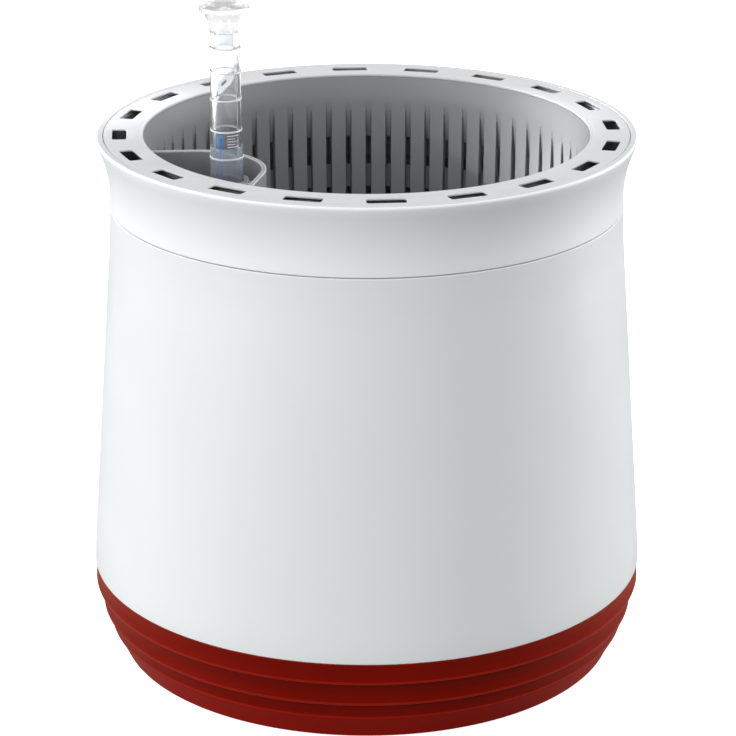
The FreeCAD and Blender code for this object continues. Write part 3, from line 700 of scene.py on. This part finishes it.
def slotted_liner():
    """The grey liner: upright channels that deepen downwards, with air slots through their floors."""
    slot_tops = [SLOT_TOP - row * SLOT_PITCH for row in range(SLOT_ROWS)]
    starts = [LINER_TOP - CHANNEL_START_DEPTH - step for step in (0.0, 4.0, 9.0)]
    heights = [LINER_TOP - LINER_FLANGE, LINER_TOP - FLARE_DEPTH, *starts]
    for slot_top in slot_tops:
        heights += [slot_top, slot_top - SLOT_HEIGHT]
    heights.append(LINER_FLOOR + LINER_FLOOR_THICKNESS)
    slot_rows = [heights.index(slot_top) for slot_top in slot_tops]

    def wall_radius(height):
        share = (height - LINER_FLOOR) / (LINER_TOP - LINER_FLOOR)
        flare = LINER_FLARE * max(0.0, 1.0 - (LINER_TOP - height) / FLARE_DEPTH)
        return LINER_RADIUS_BASE + (LINER_RADIUS_TOP - LINER_RADIUS_BASE) * share + flare

    def channel(height):
        below = LINER_TOP - CHANNEL_START_DEPTH - height
        return max(0.0, min(CHANNEL_DEEPEST, below * CHANNEL_SLOPE))

    stations = []
    slot_half = math.asin(SLOT_WIDTH / 2 / LINER_RADIUS_TOP)
    channel_half = math.asin(CHANNEL_WIDTH / 2 / LINER_RADIUS_TOP)
    spacing = 2 * math.pi / COLUMNS
    for column in range(COLUMNS):
        middle = math.radians(FIRST_COLUMN_DEGREES) + column * spacing
        stations += [(middle - channel_half, 0.0), (middle - slot_half, 1.0)]
        stations += [(middle + slot_half, 1.0), (middle + channel_half, 0.0)]
        plain = spacing - 2 * channel_half
        for step in range(1, PLAIN_STEPS):
            stations.append((middle + channel_half + plain * step / PLAIN_STEPS, 0.0))
    per_column = len(stations) // COLUMNS

    bead_top = RIM_TOP - LIP_DEPTH - 0.05
    rings = [[(LINER_RADIUS_TOP + LINER_FLARE, bead_top)] * len(stations)]
    for height in heights:
        rings.append([(wall_radius(height) + share * channel(height), height) for _, share in stations])
    floor_rim = (
        (FLOOR_HOLE_RADIUS, heights[-1]),
        (FLOOR_HOLE_RADIUS, LINER_FLOOR),
        (LINER_RADIUS_BASE + LINER_WALL, LINER_FLOOR),
    )
    rings += [[corner_point] * len(stations) for corner_point in floor_rim]
    first_outer = len(rings)
    for height in reversed(heights):
        rings.append([(wall_radius(height) + LINER_WALL, height)] * len(stations))
    bead_outer = LIP_SEAT - 0.1
    flange = (
        (LINER_FLANGE_RADIUS, heights[0]),
        (LINER_FLANGE_RADIUS, LINER_TOP),
        (bead_outer, LINER_TOP),
        (bead_outer, bead_top),
    )
    rings += [[corner_point] * len(stations) for corner_point in flange]

    vertices = []
    for ring in rings:
        for (angle, _), (radius, height) in zip(stations, ring):
            vertices.append((radius * MM * math.cos(angle), radius * MM * math.sin(angle), height * MM))

    def corner(ring, station):
        return ring * len(stations) + station % len(stations)

    def inner_ring(row):
        return 1 + row

    def outer_ring(row):
        return first_outer + len(heights) - 1 - row

    open_inner = {inner_ring(row) for row in slot_rows}
    open_outer = {outer_ring(row + 1) for row in slot_rows}
    faces = []
    for ring in range(len(rings)):
        following = (ring + 1) % len(rings)
        for station in range(len(stations)):
            if station % per_column == 1 and ring in open_inner | open_outer:
                continue
            faces.append((
                corner(ring, station), corner(following, station),
                corner(following, station + 1), corner(ring, station + 1),
            ))
    for row in slot_rows:
        for column in range(COLUMNS):
            left = column * per_column + 1
            loop = [(row, left), (row, left + 1), (row + 1, left + 1), (row + 1, left)]
            for index, (a_row, a_station) in enumerate(loop):
                b_row, b_station = loop[(index + 1) % len(loop)]
                faces.append((
                    corner(inner_ring(a_row), a_station), corner(outer_ring(a_row), a_station),
                    corner(outer_ring(b_row), b_station), corner(inner_ring(b_row), b_station),
                ))
    mesh = bpy.data.meshes.new("slotted_liner")
    mesh.from_pydata(vertices, [], faces)
    finishes = ["liner_grey"]
    finish_piece("slotted_liner", mesh, "basket", finishes, ["growing_basket"], sharp=20)


slotted_liner()


# ---------------------------------------------------------------- fleece wicks

def fleece_roll(name, node):
    """A strip of fleece rolled up and pushed into its cup: uneven sides and a spiral on top."""
    low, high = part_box(node)
    centre = centre_of(node)
    base, top = low.z / MM, high.z / MM
    reach = (high.x - low.x) / 2 / MM
    reach_base = reach - 2.8
    strip = 3.1
    segments = 96
    outline_steps = 26
    top_steps = 14
    vertices = []
    for segment in range(segments):
        angle = 2 * math.pi * segment / segments
        for step in range(outline_steps + 1):
            share = step / outline_steps
            height = base + (top - base - 1.2) * share
            ripple = 0.25 * math.sin(7 * angle + 9 * share) + 0.15 * math.sin(19 * angle - 23 * share)
            radius = reach_base + (reach - reach_base) * share - 0.4 + ripple
            vertices.append((radius, angle, height))
        for step in range(1, top_steps):
            radius = (reach - 0.4) * (1 - step / top_steps)
            turn = (radius / strip - angle / (2 * math.pi)) % 1.0
            height = top - 0.3 - 1.6 * abs(turn - 0.5) ** 2 * 4 * min(1.0, radius / strip)
            vertices.append((radius, angle, height))
    ring = outline_steps + top_steps
    faces = []
    for segment in range(segments):
        here, there = segment * ring, ((segment + 1) % segments) * ring
        for step in range(ring - 1):
            faces.append((here + step, there + step, there + step + 1, here + step + 1))
    foot, crown = len(vertices), len(vertices) + 1
    points = [
        (centre[0] + radius * MM * math.cos(angle), centre[1] + radius * MM * math.sin(angle), height * MM)
        for radius, angle, height in vertices
    ]
    points += [(*centre, base * MM), (*centre, (top - 0.4) * MM)]
    for segment in range(segments):
        here, there = segment * ring, ((segment + 1) % segments) * ring
        faces.append((foot, there, here))
        faces.append((crown, here + ring - 1, there + ring - 1))
    mesh = bpy.data.meshes.new(name)
    mesh.from_pydata(points, [], faces)
    finish_piece(name, mesh, "basket", ["fleece"], [node], sharp=60)


for letter in ("a", "b", "c"):
    fleece_roll("fleece_roll_" + letter, "wick_core_" + letter)


# ---------------------------------------------------------------- gauge scale

def gauge_ticks():
    """Plain printed tick marks between the two lowest rings, in place of a word."""
    centre = centre_of("gauge_tube")
    surface = 7.0
    proud = 0.12
    rises = (5.9, 7.2, 8.5, 9.8, 11.1)
    steps = 10
    vertices = []
    faces = []
    for index, rise in enumerate(rises):
        sweep = math.radians(46 if index % 2 == 0 else 30)
        first = math.radians(-84)
        for step in range(steps + 1):
            angle = first + sweep * step / steps
            for radius, side in ((surface, -1), (surface + proud, -1), (surface + proud, 1), (surface, 1)):
                vertices.append((
                    centre[0] + radius * MM * math.cos(angle),
                    centre[1] + radius * MM * math.sin(angle),
                    (RIM_HEIGHT + rise + 0.2 * side) * MM,
                ))
        start = index * (steps + 1) * 4
        for step in range(steps):
            here, there = start + step * 4, start + (step + 1) * 4
            for side in range(4):
                following = (side + 1) % 4
                faces.append((here + side, there + side, there + following, here + following))
        last = start + steps * 4
        faces.append((start, start + 1, start + 2, start + 3))
        faces.append((last + 3, last + 2, last + 1, last))
    mesh = bpy.data.meshes.new("gauge_ticks")
    mesh.from_pydata(vertices, [], faces)
    finish_piece("gauge_ticks", mesh, "gauge", ["ring_white"], [])


def level_line(index):
    """A fine moulded line round the tube in place of the plain level ring."""
    node = "level_ring_%d" % index
    middle = (base_of(node) + top_of(node)) / 2
    low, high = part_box(node)
    crest = (high.x - low.x) / 2 / MM - 0.14
    root = crest - 0.38
    crest_half, root_half = 0.36, 0.42
    name = "level_line_%d" % index
    outline = rounded([
        (root, middle - root_half),
        (crest, middle - crest_half, 0.25),
        (crest, middle + crest_half, 0.25),
        (root, middle + root_half),
    ])
    mesh = lathe(name, outline, centre=centre_of(node), segments=96)
    finish_piece(name, mesh, "gauge", ["ring_clear"], [node])


gauge_ticks()
for ring_number in range(1, 6):
    level_line(ring_number)


# ---------------------------------------------------------------- floor and light

def add_softbox(name, azimuth, elevation, distance, size, power, aim_height=0.14):
    """A soft rectangular lamp; azimuth 0 is on the camera's side, and 90 is on the right."""
    data = bpy.data.lights.new(name, "AREA")
    data.shape = "RECTANGLE"
    data.size, data.size_y = size
    data.energy = power
    lamp = bpy.data.objects.new(name, data)
    turn, rise = math.radians(azimuth), math.radians(elevation)
    way = Vector((math.sin(turn) * math.cos(rise), -math.cos(turn) * math.cos(rise), math.sin(rise)))
    lamp.location = Vector((0.0, 0.0, aim_height)) + way * distance
    lamp.rotation_euler = (-way).to_track_quat("-Z", "Y").to_euler()
    bpy.context.scene.collection.objects.link(lamp)


def add_snoot(name, location, aim, cone_degrees, power):
    """A narrow soft beam that reaches into the basket over its rim."""
    data = bpy.data.lights.new(name, "SPOT")
    data.energy = power
    data.spot_size = math.radians(cone_degrees)
    data.spot_blend = 1.0
    data.shadow_soft_size = 0.03
    lamp = bpy.data.objects.new(name, data)
    lamp.location = location
    lamp.rotation_euler = (Vector(aim) - Vector(location)).to_track_quat("-Z", "Y").to_euler()
    bpy.context.scene.collection.objects.link(lamp)


def add_floor():
    """A wide pale floor that takes the contact shadow and sends no light back."""
    mesh = bpy.data.meshes.new("floor")
    half = 40.0
    under = -0.0002
    corners = [(-half, -half, under), (half, -half, under), (half, half, under), (-half, half, under)]
    mesh.from_pydata(corners, [], [(0, 1, 2, 3)])
    floor = bpy.data.objects.new("floor", mesh)
    bpy.context.scene.collection.objects.link(floor)
    floor.visible_diffuse = False
    floor.visible_glossy = False
    shader = Shader("studio_floor")
    tone = shader.span(shader.noise(3.0), 0.0, 1.0)
    shader.drive(base_color=shader.mix(tone, (0.90, 0.90, 0.90), (0.93, 0.93, 0.93)))
    shader.set(roughness=0.9, emission_strength=0.8, emission_color=(1.0, 1.0, 1.0, 1.0))
    mesh.materials.append(shader.material)


def add_world():
    """A white studio: brightest at the horizon, dimmer overhead, dim below it."""
    world = bpy.data.worlds.new("studio")
    world.use_nodes = True
    nodes, links = world.node_tree.nodes, world.node_tree.links
    ramp = nodes.new("ShaderNodeValToRGB")
    for position, level in ((0.0, 0.18), (0.49, 0.18), (0.51, 1.0), (1.0, 0.42)):
        stop = ramp.color_ramp.elements.new(position)
        stop.color = (level, level, level, 1.0)
    ramp.color_ramp.elements.remove(ramp.color_ramp.elements[0])
    ramp.color_ramp.elements.remove(ramp.color_ramp.elements[-1])
    split = nodes.new("ShaderNodeSeparateXYZ")
    share = nodes.new("ShaderNodeMapRange")
    share.inputs["From Min"].default_value = -1.0
    links.new(nodes.new("ShaderNodeTexCoord").outputs["Generated"], split.inputs["Vector"])
    links.new(split.outputs["Z"], share.inputs["Value"])
    links.new(share.outputs["Result"], ramp.inputs["Fac"])
    links.new(ramp.outputs["Color"], nodes["Background"].inputs["Color"])
    bpy.context.scene.world = world


add_world()
add_floor()
add_softbox("key_left", azimuth=-54, elevation=8, distance=1.9, size=(1.0, 1.1), power=18.0)
add_softbox("rim_left", azimuth=-115, elevation=14, distance=1.8, size=(0.7, 1.0), power=12.0)
add_softbox("rim_right", azimuth=110, elevation=8, distance=1.8, size=(0.7, 1.1), power=22.0)
add_snoot(
    "basket_light", location=(-1.0, 0.05, 0.64), aim=(0.100, 0.03, 0.208), cone_degrees=5.6, power=170.0,
)
bpy.context.scene.view_settings.view_transform = "Standard"
